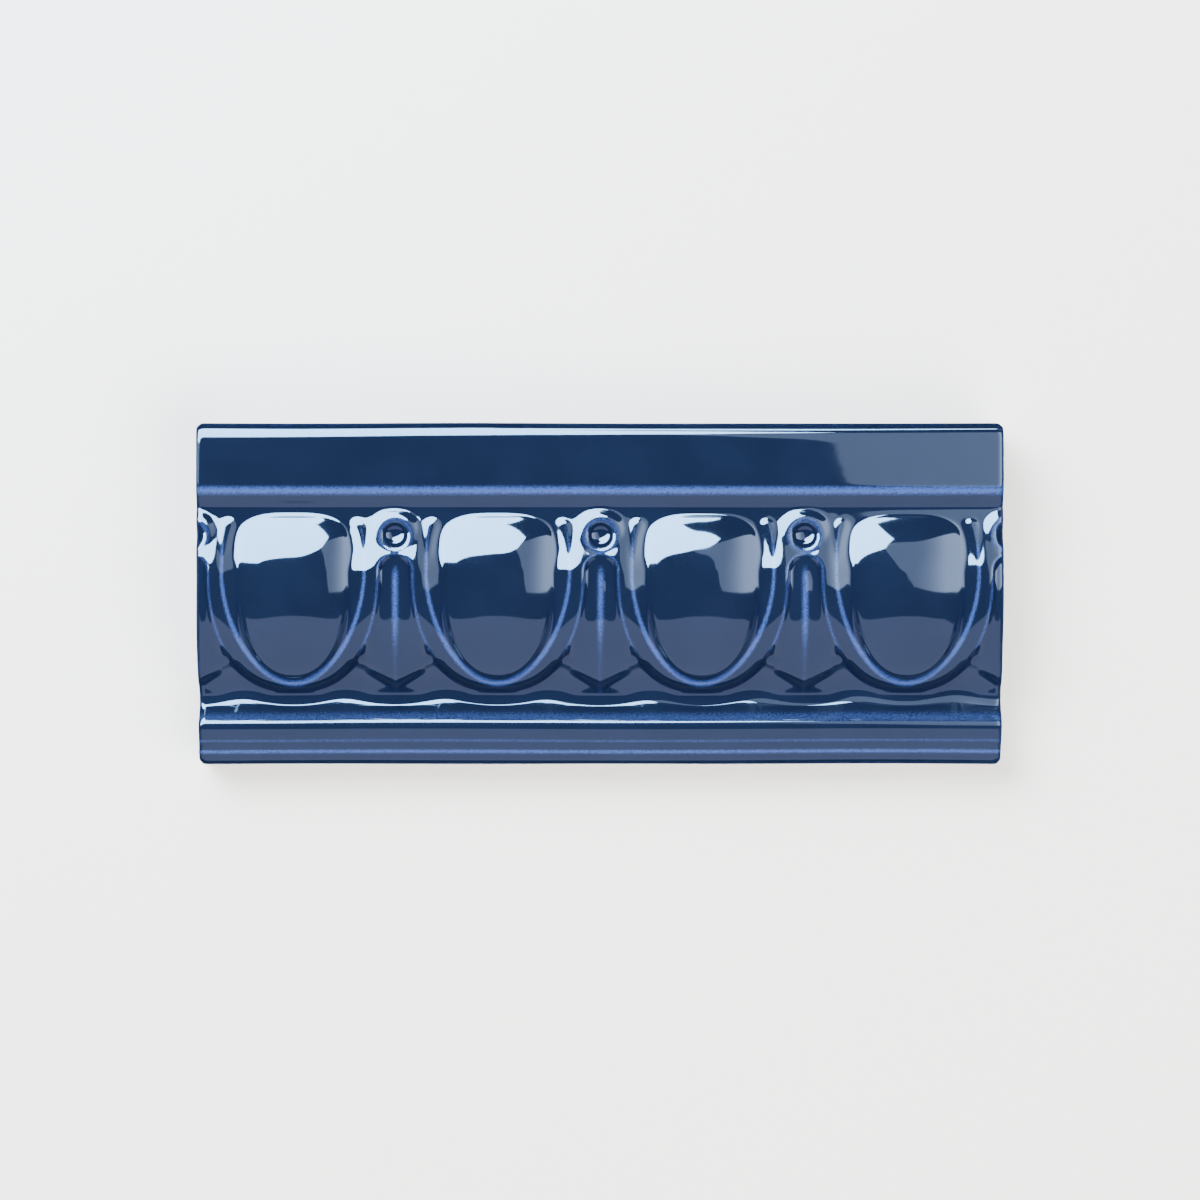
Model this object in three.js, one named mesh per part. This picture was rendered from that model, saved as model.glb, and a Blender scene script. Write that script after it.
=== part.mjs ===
// Relief glazed tile: one pressed and fired length of egg-and-dart moulding.
// Millimetres. The tile lies on its back: +X along its length, +Y towards the plain band,
// +Z out of the face. The origin is the middle of the flat back.

import * as THREE from 'three'

// Pattern along the length. Whole eggs stand between half darts, and the mortar joint
// completes the pattern from one tile to the next.
const eggCount = 4
const length = 152
const jointWidth = 2
const pitch = (length + jointWidth) / eggCount

// Widths of the members across the face, from the top edge down to the bottom edge.
const bandWidth = 12.75
const fallWidth = 3.1
const friezeWidth = 35.15
const coveWidth = 5.45
const rollWidth = 3.5
const stepWidth = 2.1
const footWidth = 2.45
const width = bandWidth + fallWidth + friezeWidth + coveWidth + rollWidth + stepWidth + footWidth

// Heights of the members above the back.
const bandHeight = 20.2
const recessHeight = 18
const coveHeight = 10.6
const rollHeight = 13.9
const stepHeight = 12.9
const footHeight = 12
const stepDrop = 0.5
const footDrop = 2.3
const edgeDrop = 3
const edgeRound = 3

// Level lines across the face.
const topEdge = width / 2
const bandEnd = topEdge - bandWidth
const friezeTop = bandEnd - fallWidth
const friezeBottom = friezeTop - friezeWidth
const rollTop = friezeBottom - coveWidth
const stepTop = rollTop - rollWidth
const footTop = stepTop - stepWidth
const bottomEdge = -topEdge

// Ovolo: the rounded face of the frieze, highest on the crown line.
const crownDrop = 12.4
const crownY = friezeTop - crownDrop
const upperReach = crownDrop
const lowerReach = friezeWidth - crownDrop
const faceCrown = 21.4
const faceCrownRound = 1.2
const faceUpperReach = upperReach - 1.4
const faceUpperFoot = recessHeight - 0.05
const faceLowerFoot = 12
const faceLowerPower = 2.125

// Ground: the plain surface behind the ornament, banked up between the husks.
const groundDepth = 2.5
const bankDepth = 1.2
const bankSlope = 0.4
const bankCurve = 0.06

// Egg: a long oval dome, square at the top and pointed below.
const eggHalfWidth = 10.2
const eggUpper = upperReach - 1.25
const eggLower = lowerReach - 2.85
const eggCrown = 23
const eggSideFoot = 20
const eggUpperFoot = recessHeight
const eggLowerFoot = 15.4
const eggSidePower = 2.3
const eggUpperPower = 1.8
const eggLowerPower = 2.4
const eggSquareness = 1.4
const eggSideWallSlope = 0.4
const eggWallSlope = 3
const eggWallRound = 0.7

// Husk: the U-shaped rim round each egg, with a sharp inner arris.
const huskHalfWidth = 13.3
const huskUpper = upperReach + 4.1
const huskLower = lowerReach - 1.95
const huskTilt = 0.5
const huskTiltWidth = 2.6
const huskSideSlope = 0.38
const huskEndSlope = 1.3
const huskWallSlope = 1.5
const huskWallWidth = 1
const huskWallTop = friezeBottom + 6.3
const huskWallRun = 0.7
const slotWidth = 0.5

// Rib: the husk's arris stands up at the top, where the face falls away.
const ribFall = 0.25
const ribTop = 9
const ribHalfWidth = 0.85
const ribNarrowing = 2
const ribSlope = 0.5

// Hollow: the arched channel between two husks, where the dart lies.
const hollowHalfWidth = 3.2
const hollowHead = 0.35
const hollowLower = lowerReach - 0.35
const hollowDepth = 1.2
const hollowFootDepth = 0.35
const hollowWallWidth = 0.6
const hollowWallSpread = 1.8
const hollowSpreadFrom = 4
const hollowSpreadTo = 13
const hollowFillFrom = 1
const hollowFillTo = 17

// Dart: a spine in the hollow that widens to a pointed foot.
const spineHalfWidth = 1.3
const spineRise = 0.3
const spineTop = 1.6
const spineRun = 4.6
const dartTip = friezeBottom + 0.7
const dartFootSlope = 0.66
const dartFootWall = 1.3
const dartFootRise = 0.55
const dartFootFrom = 14
const dartSwellFrom = 12
const dartSwellTo = 19
const dartCamber = 0.07

// Eye: a raised ring with a round dish above each dart.
const eyeY = crownY + 7.1
const eyeHeight = 19.6
const eyeTilt = 0.24
const eyeRimRadius = 3
const eyeRimHalfWidth = 0.5
const eyeRimSlope = 1.3
const eyeDishRadius = 2.55
const eyeDishCurve = 2.75

// Keys: shallow tapered grooves along the back that hold the mortar.
const keyCount = 4
const keyWidth = 4
const keyDepth = 1.2
const keyTaper = 0.8
const keyPitch = 14
const skirtHeight = 4

// Fineness of the surface.
const finestStep = 0.55
const sampleStep = 0.5
const lineStep = 0.9
const borderStep = 1.2
const halfRepeatCorners = 740

const clamp = THREE.MathUtils.clamp

// A ramp that starts at t = 0 with slope 1, rounded over the distance round on both sides.
function roundedRamp(t, round) {
  if (t <= -round) return 0
  if (t >= round) return t
  return (t + round) ** 2 / (4 * round)
}

function blendedMax(a, b, blend) {
  const share = clamp(0.5 + (a - b) / (2 * blend), 0, 1)
  return b * (1 - share) + a * share + blend * share * (1 - share)
}

function blendedMin(a, b, blend) {
  return -blendedMax(-a, -b, blend)
}

// A broken line through corners [y, z, rounding], with y falling from corner to corner.
function brokenLine(y, corners) {
  const slopeOf = (i) => (corners[i + 1][1] - corners[i][1]) / (corners[i][0] - corners[i + 1][0])
  let z = corners[0][1] + slopeOf(0) * (corners[0][0] - y)
  for (let i = 1; i < corners.length - 1; i++) {
    const [cornerY, , round] = corners[i]
    z += (slopeOf(i) - slopeOf(i - 1)) * roundedRamp(cornerY - y, round)
  }
  return z
}

// Rises from 0 to 1 and levels off, steepest at the start.
function easing(t) {
  return 1 - (1 - clamp(t, 0, 1)) ** 2
}

// 0 above the line from, 1 below the line to, with a smooth change between.
function downTo(y, from, to) {
  return THREE.MathUtils.smoothstep(from - y, 0, from - to)
}

// Where a point lies against an oval about the crown line: gap is the distance outside it, lean
// is how far its normal points along Y, and share is the part that Y has in its size.
function againstOval(u, y, oval) {
  const above = y > crownY
  const reach = above ? oval.upper : oval.lower
  const power = above ? oval.upperPower : oval.lowerPower
  const across = Math.max(Math.abs(u) / oval.halfWidth, 1e-9)
  const along = Math.max(Math.abs(y - crownY) / reach, 1e-9)
  const size = (across ** power + along ** power) ** (1 / power)
  const slopeU = (across / size) ** (power - 1) / oval.halfWidth
  const slopeY = (along / size) ** (power - 1) / reach * (above ? 1 : -1)
  const slope = Math.hypot(slopeU, slopeY)
  return { gap: (size - 1) / slope, lean: slopeY / slope, share: (along / size) ** power }
}

const eggOval = {
  halfWidth: eggHalfWidth, upper: eggUpper, lower: eggLower, upperPower: 5, lowerPower: 2.25,
}
const huskOval = {
  halfWidth: huskHalfWidth, upper: huskUpper, lower: huskLower, upperPower: 3, lowerPower: 1.83,
}
const hollowOval = {
  halfWidth: pitch / 2 - hollowHalfWidth, upper: 60, lower: hollowLower,
  upperPower: 2, lowerPower: 2.2,
}

// Corners of the band and of the slope that falls from it into the frieze.
const bandCorners = [
  [topEdge, bandHeight - edgeDrop, 0],
  [topEdge - 0.03 * edgeRound, bandHeight - 0.74 * edgeDrop, 0.1],
  [topEdge - 0.234 * edgeRound, bandHeight - 0.357 * edgeDrop, 0.5],
  [topEdge - 0.577 * edgeRound, bandHeight - 0.094 * edgeDrop, 0.6],
  [topEdge - edgeRound, bandHeight - 0.01, 0.5],
  [bandEnd, bandHeight, 0.9],
  [friezeTop, recessHeight, 0.5],
  [crownY, recessHeight, 0],
]

// Corners of the cove, the roll and the two steps below it.
const lowerCorners = [
  [friezeBottom + 1, coveHeight, 0],
  [friezeBottom - 0.39 * coveWidth, coveHeight + 0.1, 0.85],
  [rollTop + 0.07 * coveWidth, rollHeight - 0.35, 0.4],
  [rollTop - 0.1, rollHeight, 0.35],
  [rollTop - 0.42 * rollWidth, rollHeight, 0.4],
  [stepTop + 0.5, stepHeight + 0.1, 0.2],
  [stepTop, stepHeight, 0.1],
  [stepTop - 0.35, stepHeight - stepDrop, 0.1],
  [footTop, footHeight, 0.1],
  [footTop - 0.35, footHeight - stepDrop, 0.1],
  [bottomEdge + 0.7, footHeight - stepDrop - 0.6, 0.4],
  [bottomEdge, footHeight - footDrop, 0],
]

// The rounded face that the husks and the darts share.
function roundedFace(y) {
  if (y > crownY) {
    const fallBy = (reach) => Math.hypot(reach, faceCrownRound) - faceCrownRound
    return faceCrown - (faceCrown - faceUpperFoot) * fallBy(y - crownY) / fallBy(faceUpperReach)
  }
  return faceCrown - (faceCrown - faceLowerFoot) * ((crownY - y) / lowerReach) ** faceLowerPower
}

// The plain members above and below the frieze.
function plainHeight(y) {
  return brokenLine(y, y > crownY ? bandCorners : lowerCorners)
}

// The surface behind the ornament, which rises from the cove as a bank between the husks.
function groundHeight(u, y) {
  const rise = roundedRamp(y - friezeBottom + 0.4, 0.4)
  const bank = coveHeight + bankSlope * rise + bankCurve * rise ** 2
  const outsideHusk = THREE.MathUtils.smoothstep(againstOval(u, y, huskOval).gap, 0.2, 0.8)
  const between = outsideHusk * downTo(y, huskWallTop + 3, huskWallTop - 1)
  const depth = THREE.MathUtils.lerp(groundDepth, bankDepth, between)
  const body = Math.min(bank, roundedFace(y) - depth)
  if (y > crownY) return blendedMax(Math.min(body, recessHeight - 0.4), plainHeight(y), 0.1)
  return y < friezeBottom + 1 ? blendedMax(body, plainHeight(y), 0.3) : body
}

// The egg's dome, cut off at the oval by a wall that is steep only round its lower end.
function eggHeight(u, y) {
  const { gap, lean } = againstOval(u, y, eggOval)
  const above = y > crownY
  const endFall = eggCrown - (above ? eggUpperFoot : eggLowerFoot)
  const reach = above ? eggUpper : eggLower
  const across = (eggCrown - eggSideFoot) * Math.abs(u / eggHalfWidth) ** eggSidePower
  const along = endFall * Math.abs((y - crownY) / reach) ** (above ? eggUpperPower : eggLowerPower)
  const fall = (across ** eggSquareness + along ** eggSquareness) ** (1 / eggSquareness)
  const steepness = THREE.MathUtils.lerp(eggSideWallSlope, eggWallSlope, downTo(lean, 0, -0.6))
  return eggCrown - fall - steepness * roundedRamp(gap - 0.3 * eggWallRound, eggWallRound)
}

// How far a point lies inside the hollow, whose head is a half circle under the eye.
function insideHollow(u, w, y) {
  const headY = crownY + hollowHead
  if (y > headY) return hollowHalfWidth - Math.hypot(w, y - headY)
  return againstOval(u, y, hollowOval).gap
}

// The husk: its face sinks a little towards the arris and drops inside it towards the egg.
function huskHeight(u, w, y) {
  const { gap, lean, share } = againstOval(u, y, huskOval)
  const footward = clamp(-lean, 0, 1)
  const left = clamp(1 - Math.max(gap, 0) / huskTiltWidth, 0, 1)
  const tilt = 0.5 * huskTilt * huskTiltWidth * left ** 2 * (1 - footward ** 2)
  const innerSlope = THREE.MathUtils.lerp(huskSideSlope, huskEndSlope, lean < 0 ? share : 0)
  const wall = huskWallSlope * roundedRamp(insideHollow(u, w, y) + huskWallWidth, 0.15)
  const outerDrop = wall * downTo(y, huskWallTop, huskWallTop - huskWallRun)
  return roundedFace(y) - tilt - innerSlope * roundedRamp(-gap, 0.15) - outerDrop
}

// The rib along the arris, which widens to a round end as the face falls away at the top.
function ribHeight(u, y) {
  if (y < crownY) return 0
  const { gap } = againstOval(u, y, huskOval)
  const past = Math.max(y - crownY - ribTop, 0)
  const halfWidth = ribHalfWidth * THREE.MathUtils.smoothstep(y, crownY + 1, crownY + ribTop - ribNarrowing)
  const start = faceCrown - 0.5 * huskTilt * huskTiltWidth
  return start - ribFall * (y - crownY) - ribSlope * roundedRamp(Math.hypot(gap, past) - halfWidth, 0.15)
}

// The hollow's floor with the dart's spine, which runs out into the dart's pointed foot.
function dartHeight(u, w, y) {
  const outside = insideHollow(u, w, y)
  const fill = clamp((crownY - hollowFillFrom - y) / (hollowFillTo - hollowFillFrom), 0, 1)
  const depth = THREE.MathUtils.lerp(hollowDepth, hollowFootDepth, fill)
  const spread = downTo(y, crownY - hollowSpreadFrom, crownY - hollowSpreadTo)
  const wallWidth = hollowWallWidth + hollowWallSpread * spread
  const spine = spineRise * downTo(y, crownY + spineTop, crownY + spineTop - spineRun)
  const ridge = spine * (1 - clamp(w / spineHalfWidth, 0, 1) ** 2) ** 2
  const floor = roundedFace(Math.min(y, crownY)) - depth * easing(outside / wallWidth) + ridge
  const camber = dartCamber * downTo(y, crownY - dartSwellFrom, crownY - dartSwellTo) * w * w
  const rise = dartFootRise * downTo(y, crownY - dartFootFrom, crownY - dartSwellTo)
  const beside = huskWallSlope * huskWallWidth * clamp(1 - outside / slotWidth, 0, 1)
  const slot = beside * downTo(y, huskWallTop, huskWallTop - huskWallRun)
  const surface = Math.min(roundedFace(y), floor) - camber + rise - slot
  const foot = groundHeight(u, y) + dartFootWall * (y - dartTip - dartFootSlope * w)
  return blendedMin(surface, foot, 0.15)
}

function withEye(z, w, y) {
  const radius = Math.hypot(w, y - eyeY)
  const plane = eyeHeight - eyeTilt * (y - eyeY)
  let height = z
  if (radius < eyeRimRadius + 1.6) {
    const beside = Math.max(Math.abs(radius - eyeRimRadius) - eyeRimHalfWidth, 0)
    height = blendedMax(height, plane - eyeRimSlope * beside, 0.12)
  }
  if (radius < eyeRimRadius) {
    const sunk = Math.sqrt(eyeDishCurve ** 2 - Math.min(radius, eyeDishRadius) ** 2)
    const level = Math.sqrt(eyeDishCurve ** 2 - eyeDishRadius ** 2)
    const wall = 2.5 * Math.max(radius - eyeDishRadius, 0)
    height = blendedMin(height, plane - (sunk - level) + wall, 0.1)
  }
  return height
}

// Height of the whole face above the back.
function faceHeight(x, y) {
  if (y > friezeTop - 0.2 || y < friezeBottom - 0.9) return plainHeight(y)
  const u = Math.abs(x / pitch - Math.floor(x / pitch) - 0.5) * pitch
  const ground = groundHeight(u, y)
  const w = pitch / 2 - u
  const between = insideHollow(u, w, y) > 0
  const carved = between ? dartHeight(u, w, y) : huskHeight(u, w, y)
  const ornament = blendedMax(carved, ribHeight(u, y), 0.15)
  const husk = blendedMax(ground, ornament, 0.2)
  return withEye(blendedMax(husk, eggHeight(u, y), 0.25), w, y)
}

// Points on the lower and upper quarter of an oval, set off from it by gap.
function ovalPoints(oval, gap, step) {
  const points = []
  for (const above of [false, true]) {
    const reach = above ? oval.upper : oval.lower
    const power = above ? oval.upperPower : oval.lowerPower
    const count = Math.ceil(1.2 * Math.hypot(reach, oval.halfWidth) / step)
    for (let i = 0; i <= count; i++) {
      const turn = i / count * Math.PI / 2
      const u = oval.halfWidth * Math.cos(turn) ** (2 / power)
      const y = crownY + reach * Math.sin(turn) ** (2 / power) * (above ? 1 : -1)
      const { lean } = againstOval(u, y, oval)
      points.push([u + gap * Math.sqrt(1 - lean * lean), y + gap * lean])
    }
  }
  return points
}

function circlePoints(centreU, centreY, radius, step) {
  const count = Math.max(Math.round(Math.PI * radius / step), 3)
  return Array.from({ length: count + 1 }, (_, i) => {
    const turn = Math.PI * (i / count + 0.5)
    return [centreU + radius * Math.cos(turn), centreY + radius * Math.sin(turn)]
  })
}

function evenSteps(from, to, step) {
  const count = Math.max(Math.round(Math.abs(to - from) / step), 1)
  return Array.from({ length: count + 1 }, (_, i) => from + (to - from) * i / count)
}

// A net of triangles over a rectangle, in which no triangle's circle holds another corner.
// Each triangle keeps the sample points inside it and the one where it misses the face most.
class Net {
  constructor(heightOf, samples) {
    const far = 1e5
    this.heightOf = heightOf
    this.corners = [[-far, -far, 0], [far, -far, 0], [0, far, 0]]
    this.triangles = []
    this.addTriangle([0, 1, 2], samples)
  }

  addTriangle(corners, samples) {
    const [a, b, c] = corners.map((i) => this.corners[i])
    const [bx, by, bz] = [b[0] - a[0], b[1] - a[1], b[2] - a[2]]
    const [cx, cy, cz] = [c[0] - a[0], c[1] - a[1], c[2] - a[2]]
    const twice = bx * cy - by * cx
    const centreX = (cy * (bx * bx + by * by) - by * (cx * cx + cy * cy)) / (2 * twice)
    const centreY = (bx * (cx * cx + cy * cy) - cx * (bx * bx + by * by)) / (2 * twice)
    const slopeX = (bz * cy - cz * by) / twice
    const slopeY = (cz * bx - bz * cx) / twice
    const triangle = {
      corners, x: a[0] + centreX, y: a[1] + centreY, square: centreX ** 2 + centreY ** 2,
      samples: [], miss: 0, worst: null,
    }
    const isLeftOf = ([px, py], [qx, qy], [x, y]) => (qx - px) * (y - py) - (qy - py) * (x - px) > -1e-9
    for (const sample of samples) {
      if (!isLeftOf(a, b, sample) || !isLeftOf(b, c, sample) || !isLeftOf(c, a, sample)) continue
      triangle.samples.push(sample)
      const level = a[2] + slopeX * (sample[0] - a[0]) + slopeY * (sample[1] - a[1])
      const miss = Math.abs(sample[2] - level) / Math.hypot(1, slopeX, slopeY)
      if (miss > triangle.miss) {
        triangle.miss = miss
        triangle.worst = sample
      }
    }
    this.triangles.push(triangle)
  }

  addCorner([x, y]) {
    const number = this.corners.length
    const taken = (triangle) => (triangle.x - x) ** 2 + (triangle.y - y) ** 2 < triangle.square - 1e-9
    const removed = this.triangles.filter(taken)
    const rim = new Map()
    for (const { corners: [a, b, c] } of removed) {
      for (const [from, to] of [[a, b], [b, c], [c, a]]) {
        if (!rim.delete(`${to} ${from}`)) rim.set(`${from} ${to}`, [from, to])
      }
    }
    const samples = new Set(removed.flatMap((triangle) => triangle.samples))
    const clear = [...samples].filter((p) => Math.hypot(p[0] - x, p[1] - y) > finestStep)
    this.triangles = this.triangles.filter((triangle) => !taken(triangle))
    this.corners.push([x, y, this.heightOf(x, y)])
    for (const [from, to] of rim.values()) this.addTriangle([from, to, number], clear)
  }

  addWhereWorst() {
    const worst = this.triangles.reduce((a, b) => (b.miss > a.miss ? b : a))
    this.addCorner(worst.worst)
  }

  innerTriangles() {
    const inner = this.triangles.filter(({ corners }) => corners.every((i) => i > 2))
    return inner.map(({ corners }) => corners.map((i) => this.corners[i]))
  }
}

// Half a repeat, from the egg's centre line to the limit beside the dart's: the borders,
// the lines of the sharp forms, then further corners wherever the net misses the face most.
function halfRepeatTriangles(limit) {
  const low = friezeBottom - 1
  const high = friezeTop
  const half = pitch / 2
  const heightOf = (u, y) => faceHeight(pitch / 2 + u, y)
  const margin = 0.4
  const samples = []
  for (let u = margin; u < limit - margin; u += sampleStep) {
    for (let y = low + margin; y < high - margin; y += sampleStep) samples.push([u, y, heightOf(u, y)])
  }
  const net = new Net(heightOf, samples)
  const addWhereFree = (points) => {
    for (const [u, y] of points) {
      const inside = u > margin && u < limit - margin && y > low + margin && y < high - margin
      const free = net.corners.every(([cu, cy]) => Math.hypot(cu - u, cy - y) > finestStep)
      if (inside && free) net.addCorner([u, y])
    }
  }
  for (const u of evenSteps(0, limit, borderStep)) {
    net.addCorner([u, low])
    net.addCorner([u, high])
  }
  for (const y of evenSteps(low, high, borderStep).slice(1, -1)) {
    net.addCorner([0, y])
    net.addCorner([limit, y])
  }
  addWhereFree(ovalPoints(huskOval, 0, lineStep))
  addWhereFree(circlePoints(half, eyeY, eyeRimRadius, lineStep))
  addWhereFree(circlePoints(half, crownY + hollowHead, hollowHalfWidth, lineStep))
  addWhereFree(ovalPoints(hollowOval, 0, lineStep))
  addWhereFree(ovalPoints(eggOval, 0.15, lineStep))
  addWhereFree(ovalPoints(huskOval, -0.9, lineStep))
  addWhereFree(ovalPoints(huskOval, 0.9, lineStep))
  addWhereFree(ovalPoints(hollowOval, -1, lineStep))
  while (net.corners.length < halfRepeatCorners) net.addWhereWorst()
  return net.innerTriangles()
}

// A closed surface built up from triangles whose corners are points [x, y, z].
class Surface {
  constructor() {
    this.positions = []
    this.indices = []
    this.numbers = new Map()
  }

  numberOf([x, y, z]) {
    const key = `${Math.round(x * 1e4)} ${Math.round(y * 1e4)} ${Math.round(z * 1e3)}`
    if (!this.numbers.has(key)) {
      this.numbers.set(key, this.positions.length / 3)
      this.positions.push(x, y, z)
    }
    return this.numbers.get(key)
  }

  addTriangle(a, b, c) {
    this.indices.push(this.numberOf(a), this.numberOf(b), this.numberOf(c))
  }

  // A strip between two rows of points that run the same way; along measures that way.
  addStrip(row, nextRow, along) {
    let i = 0
    let j = 0
    while (i < row.length - 1 || j < nextRow.length - 1) {
      const rowLeads = j === nextRow.length - 1
        || (i < row.length - 1 && along(row[i + 1]) <= along(nextRow[j + 1]))
      if (rowLeads) {
        this.addTriangle(row[i], nextRow[j], row[i + 1])
        i++
      } else {
        this.addTriangle(row[i], nextRow[j], nextRow[j + 1])
        j++
      }
    }
  }

  toGeometry() {
    const geometry = new THREE.BufferGeometry()
    geometry.setAttribute('position', new THREE.Float32BufferAttribute(this.positions, 3))
    geometry.setIndex(this.indices)
    geometry.computeVertexNormals()
    return geometry
  }
}

// The ornament: every half repeat is the same net, turned over at every other one.
function addFrieze(surface) {
  const half = pitch / 2
  const inner = halfRepeatTriangles(half)
  const outer = halfRepeatTriangles(half - jointWidth / 2)
  for (let i = 0; i < eggCount; i++) {
    const centreX = (i + 0.5 - eggCount / 2) * pitch
    for (const side of [-1, 1]) {
      const atEnd = side < 0 ? i === 0 : i === eggCount - 1
      for (const corners of atEnd ? outer : inner) {
        const [a, b, c] = corners.map(([u, y, z]) => [centreX + side * u, y, z])
        surface.addTriangle(a, side > 0 ? b : c, side > 0 ? c : b)
      }
    }
  }
}

// X of the columns that the plain members need: the ends and each half repeat.
function columnXs() {
  const inner = Array.from({ length: 2 * eggCount - 1 }, (_, i) => (i + 1 - eggCount) * pitch / 2)
  return [-length / 2, ...inner, length / 2]
}

// X of the frieze's border points, which the members next to it have to meet.
function friezeBorderXs() {
  const half = pitch / 2
  const xs = []
  for (let i = 0; i < eggCount; i++) {
    const centreX = (i + 0.5 - eggCount / 2) * pitch
    const left = i === 0 ? half - jointWidth / 2 : half
    const right = i === eggCount - 1 ? half - jointWidth / 2 : half
    xs.push(...evenSteps(0, left, borderStep).reverse().map((u) => centreX - u))
    xs.push(...evenSteps(0, right, borderStep).slice(1).map((u) => centreX + u))
  }
  return xs.filter((x, i) => i === 0 || x - xs[i - 1] > 1e-6)
}

// Levels at which a broken line needs a row: two for each rounded corner.
function rowLevels(corners, low, high) {
  const levels = [low, high]
  for (const [y, , round] of corners) {
    for (const level of [y - 0.6 * round, y + 0.6 * round]) {
      if (level > low + 0.15 && level < high - 0.15) levels.push(level)
    }
  }
  levels.sort((a, b) => b - a)
  return levels.filter((level, i) => i === 0 || levels[i - 1] - level > 0.12)
}

// Outline of the back across the tile, from the top edge to the bottom edge.
function backOutline() {
  const outline = [[topEdge, 0]]
  for (let i = 0; i < keyCount; i++) {
    const middle = ((keyCount - 1) / 2 - i) * keyPitch
    outline.push([middle + keyWidth / 2, 0])
    outline.push([middle + keyWidth / 2 - keyTaper, keyDepth])
    outline.push([middle - keyWidth / 2 + keyTaper, keyDepth])
    outline.push([middle - keyWidth / 2, 0])
  }
  outline.push([bottomEdge, 0])
  return outline
}

// All rows round the tile that run along X: down the face, then up the back.
function addPlainMembers(surface) {
  const alongX = ([x]) => x
  const plainRow = (y, z) => columnXs().map((x) => [x, y, z])
  const faceRow = (y) => plainRow(y, plainHeight(y))
  const borderRow = (y) => friezeBorderXs().map((x) => [x, y, faceHeight(x, y)])
  const upperRows = rowLevels(bandCorners, friezeTop, topEdge).slice(0, -1).map(faceRow)
  const lowerRows = rowLevels(lowerCorners, bottomEdge, friezeBottom - 1).slice(1).map(faceRow)
  const addRows = (rows) => {
    for (let i = 1; i < rows.length; i++) surface.addStrip(rows[i - 1], rows[i], alongX)
  }
  const back = backOutline().map(([y, z]) => plainRow(y, z))
  addRows([plainRow(topEdge, skirtHeight), ...upperRows, borderRow(friezeTop)])
  addRows([borderRow(friezeBottom - 1), ...lowerRows, plainRow(bottomEdge, skirtHeight)])
  addRows([plainRow(bottomEdge, skirtHeight), ...back.reverse(), plainRow(topEdge, skirtHeight)])
}

// The two flat ends, each from the face down to a level line and from there to the back.
function addEnds(surface) {
  const downY = ([, y]) => -y
  const friezeYs = evenSteps(friezeBottom - 1, friezeTop, borderStep).reverse()
  const upperYs = rowLevels(bandCorners, friezeTop, topEdge).slice(0, -1)
  const lowerYs = rowLevels(lowerCorners, bottomEdge, friezeBottom - 1).slice(1)
  const back = backOutline()
  for (const side of [-1, 1]) {
    const x = side * length / 2
    const face = [
      ...upperYs.map((y) => [x, y, plainHeight(y)]),
      ...friezeYs.map((y) => [x, y, faceHeight(x, y)]),
      ...lowerYs.map((y) => [x, y, plainHeight(y)]),
    ]
    const level = back.map(([y]) => [x, y, skirtHeight])
    const foot = back.map(([y, z]) => [x, y, z])
    const strips = side > 0 ? [[level, face], [foot, level]] : [[face, level], [level, foot]]
    for (const [row, nextRow] of strips) surface.addStrip(row, nextRow, downY)
  }
}

const glaze = new THREE.MeshStandardMaterial({ color: 0x1a3662, roughness: 0.12, metalness: 0 })

function makeTile() {
  const surface = new Surface()
  addFrieze(surface)
  addPlainMembers(surface)
  addEnds(surface)
  const tile = new THREE.Mesh(surface.toGeometry(), glaze)
  tile.name = 'moulded_tile'
  return tile
}

const reliefTile = new THREE.Group()
reliefTile.add(makeTile())

export default reliefTile
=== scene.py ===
import math

import bpy
import numpy as np
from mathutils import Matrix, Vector


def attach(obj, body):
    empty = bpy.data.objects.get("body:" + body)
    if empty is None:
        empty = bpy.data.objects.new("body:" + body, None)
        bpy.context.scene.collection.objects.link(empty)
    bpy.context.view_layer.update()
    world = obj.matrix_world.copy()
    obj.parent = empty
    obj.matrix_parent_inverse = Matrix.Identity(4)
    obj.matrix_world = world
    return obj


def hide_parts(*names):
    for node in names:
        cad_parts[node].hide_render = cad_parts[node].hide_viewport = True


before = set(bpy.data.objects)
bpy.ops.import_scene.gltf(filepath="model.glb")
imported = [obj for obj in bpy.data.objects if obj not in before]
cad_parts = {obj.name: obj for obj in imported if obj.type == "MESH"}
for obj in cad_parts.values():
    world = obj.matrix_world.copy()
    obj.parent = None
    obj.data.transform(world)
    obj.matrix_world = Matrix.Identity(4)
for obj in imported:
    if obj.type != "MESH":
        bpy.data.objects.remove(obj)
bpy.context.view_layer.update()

# Sizes below are in millimetres, in the part's own frame. MM turns them into metres.
MM = 0.001

# Height given where a form isn't there, below everything that it is compared with
NOWHERE = -99.0

# Pattern along the length
EGG_COUNT = 4
LENGTH = 152.0
JOINT_WIDTH = 2.0
PITCH = (LENGTH + JOINT_WIDTH) / EGG_COUNT

# Widths of the members across the face, from the top edge down
BAND_WIDTH = 12.75
FALL_WIDTH = 3.1
FRIEZE_WIDTH = 35.15
COVE_WIDTH = 5.45
ROLL_WIDTH = 3.5
STEP_WIDTH = 2.1
FOOT_WIDTH = 2.45
WIDTH = BAND_WIDTH + FALL_WIDTH + FRIEZE_WIDTH + COVE_WIDTH + ROLL_WIDTH + STEP_WIDTH + FOOT_WIDTH

# Heights of the members above the back
BAND_HEIGHT = 20.2
RECESS_HEIGHT = 18.0
COVE_HEIGHT = 10.6
ROLL_HEIGHT = 13.9
STEP_HEIGHT = 12.9
FOOT_HEIGHT = 12.0
STEP_DROP = 0.5
FOOT_DROP = 2.3
EDGE_DROP = 3.0
EDGE_ROUND = 3.0

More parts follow.
